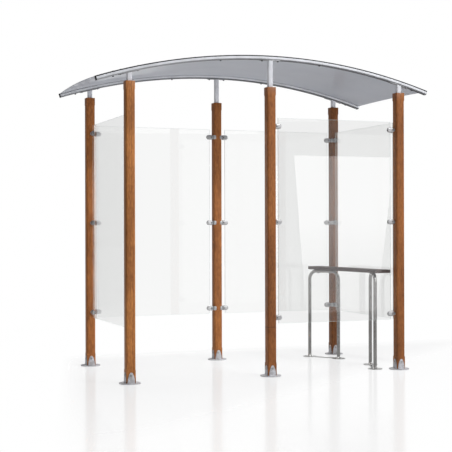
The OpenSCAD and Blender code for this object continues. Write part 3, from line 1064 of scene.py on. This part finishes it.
def build():
    """Every piece of the shelter."""
    screws = fastener_growth()
    heads = fastener_heads()
    posts()
    shoes(screws, heads)
    stubs()
    roof_edges(arch_growth())
    roof_sheet()
    panes()
    clamps(screws, heads)
    brackets()
    rail_screws(screws, heads)
    table(screws, heads)
    for pattern in heads.values():
        bpy.data.objects.remove(pattern)


# ---- studio --------------------------------------------------------------------


def plane(name, corners, material):
    """A flat four-cornered stage piece."""
    mesh = bpy.data.meshes.new(name)
    mesh.from_pydata(corners, [], [(0, 1, 2, 3)])
    made = piece_of(name, mesh, material)
    return made


def square(z):
    """The corners of the wide floor at a height."""
    reach = 60.0
    return [(-reach, -reach, z), (reach, -reach, z), (reach, reach, z), (-reach, reach, z)]


def upright(name, start, end, top, material):
    """A stage piece that stands between two points of the floor."""
    return plane(name, [(*start, 0), (*end, 0), (*end, top), (*start, top)], material)


def hidden(made, *kinds):
    """Keeps a stage piece or a lamp out of some kinds of rays."""
    for kind in kinds:
        setattr(made, "visible_" + kind, False)


def floor():
    """A wide white floor that keeps a faint shadow and a soft mirror image of the posts. The shadow
    and the mirror image fade out around the shelter."""
    material, tree, shader = blank("pale_floor", (0.82, 0.82, 0.82), 0.8)
    tree.nodes.remove(shader)
    right_of, behind, _ = axes(tree)
    away = add(tree, "ShaderNodeVectorMath", {0: place(tree)}, operation="LENGTH").outputs["Value"]

    def slanting(slope):
        return maths(tree, "SUBTRACT", right_of, maths(tree, "MULTIPLY", behind, slope))

    near = product(
        tree,
        spread(tree, slanting(0.24), -1.60, -1.36, 0.0, 1.0),
        spread(tree, slanting(1.2), 1.25, 1.75, 1.0, 0.20),
        spread(tree, behind, -3.2, -0.9, 0.06, 1.0),
        spread(tree, behind, 1.0, 1.5, 1.0, 0.0),
        0.22,
    )
    shade = add(tree, "ShaderNodeBsdfDiffuse", {"Color": (0.80, 0.80, 0.81, 1)}).outputs[0]
    gloss = add(tree, "ShaderNodeBsdfGlossy", {"Color": (1, 1, 1, 1), "Roughness": 0.13}).outputs[0]
    matt = either(tree, near, given_off(tree, 1.0), shade)
    seen = either(tree, spread(tree, away, 4.5, 9.0, 0.14, 0.0), matt, gloss)
    bounce = given_off(tree, 0.72, (0.97, 0.98, 1.0))
    dim = given_off(tree, spread(tree, away, 2.5, 9.0, 0.70, 0.34))
    straight, rays = seen_straight(tree)
    unseen = either(tree, rays["Is Glossy Ray"], bounce, dim)
    surface(tree, either(tree, straight, unseen, seen))
    plane("floor", square(-0.0004), material)


def surroundings():
    """A white backdrop with a plain soft light on the object. In mirror images it is dim all round
    but for the low part behind the shelter, which stays white."""
    world = bpy.data.worlds.new("studio")
    world.use_nodes = True
    bpy.context.scene.world = world
    tree = world.node_tree
    soft = tree.nodes["Background"]
    soft.inputs["Color"].default_value = (0.97, 0.98, 1.0, 1)
    soft.inputs["Strength"].default_value = 0.50
    way = add(tree, "ShaderNodeTexCoord").outputs["Generated"]
    right, back, up = add(tree, "ShaderNodeSeparateXYZ", {0: way}).outputs
    share = product(
        tree,
        spread(tree, back, 0.50, 0.75, 0.0, 1.0),
        spread(tree, up, 0.34, 0.60, 1.0, 0.0),
        spread(tree, right, -0.02, 0.08, 0.0, 1.0),
    )
    dim, white = (
        add(tree, "ShaderNodeBackground", {"Color": (1, 1, 1, 1), "Strength": strength}).outputs[0]
        for strength in (spread(tree, share, 0.0, 1.0, 0.30, 1.0), 1.0)
    )
    straight, rays = seen_straight(tree)
    unseen = either(tree, rays["Is Glossy Ray"], soft.outputs[0], dim)
    surface(tree, either(tree, straight, unseen, white), "World Output")


def cards():
    """A dark flag on the left, a narrow one that shades the back right post from the lamps, and a
    white board that shows only in the panes: a clear film over the floor keeps it off the floor."""
    dark, _, _ = blank("flag_cloth", (0.08, 0.08, 0.08), 0.9)
    flag = upright("flag", (-4.7, -8.0), (-4.7, 3.5), 4.5, dark)
    white, tree, _ = blank("board_white", (0.9, 0.9, 0.9), 0.9)
    films = add(tree, "ShaderNodeLightPath").outputs["Transparent Depth"]
    lit = given_off(tree, spread(tree, axes(tree)[2], 0.40, 1.30, 1.75, 3.7), (1.0, 0.99, 1.0))
    surface(tree, either(tree, maths(tree, "LESS_THAN", films, 0.5), let_through(tree), lit))
    white.cycles.emission_sampling = "NONE"
    y, top = -6.6, 2.22
    board = plane("board", [(3.13, y, 0), (4.25, y, 0), (4.55, y, top), (2.95, y, top)], white)
    shade = upright("shade", (1.46, -0.39), (1.66, -0.39), 2.46, dark)
    clear, tree, _ = blank("film_clear", (1.0, 1.0, 1.0), 0.5)
    surface(tree, let_through(tree))
    film = plane("film", square(0.0002), clear)
    hidden(board, "diffuse", "shadow")
    hidden(shade, "diffuse", "glossy")
    hidden(film, "diffuse", "shadow")
    for made in (flag, board, shade, film):
        hidden(made, "camera", "transmission")


def lamp(name, bearing, height, away, size, power, aim=(0.0, 0.0, 1.2)):
    """A soft lamp at a bearing to the right of the front and a height angle, aimed at a point."""
    light = bpy.data.lights.new(name, "AREA")
    light.shape = "RECTANGLE"
    light.size, light.size_y = size
    light.energy = power
    made = bpy.data.objects.new(name, light)
    bpy.context.scene.collection.objects.link(made)
    bearing, height = math.radians(bearing), math.radians(height)
    level = math.cos(height)
    way = Vector((math.sin(bearing) * level, -math.cos(bearing) * level, math.sin(height)))
    turn = way.to_track_quat("Z", "Y").to_matrix().to_4x4()
    made.matrix_world = Matrix.Translation(Vector(aim) + way * away) @ turn
    hidden(made, "camera")
    return made


def lights():
    """A key lamp from the front right, a broad fill from the front, and one low at the right that
    reaches the roof's underside."""
    lamp("key", 32.3, 37.2, 8.0, (0.7, 0.7), 295)
    fill = lamp("fill", 14.0, 20.0, 9.0, (4.0, 3.0), 50)
    hidden(fill, "glossy")
    side = lamp("side", 90.0, -12.5, 10.0, (3.0, 0.4), 470, (0.0, -0.8, 2.5))
    hidden(side, "glossy", "transmission")


def camera():
    """Seen from the front left, at chest height."""
    lens = bpy.data.cameras.new("camera")
    lens.sensor_width = 36
    lens.lens = 89.86
    lens.clip_end = 300
    made = bpy.data.objects.new("camera", lens)
    bpy.context.scene.collection.objects.link(made)
    made.location = (-3.641, -9.066, 1.210)
    made.rotation_euler = [math.radians(turn) for turn in (90.076, 0.153, -21.069)]
    bpy.context.scene.camera = made


build()
floor()
surroundings()
cards()
lights()
camera()
bpy.context.scene.view_settings.view_transform = "Standard"
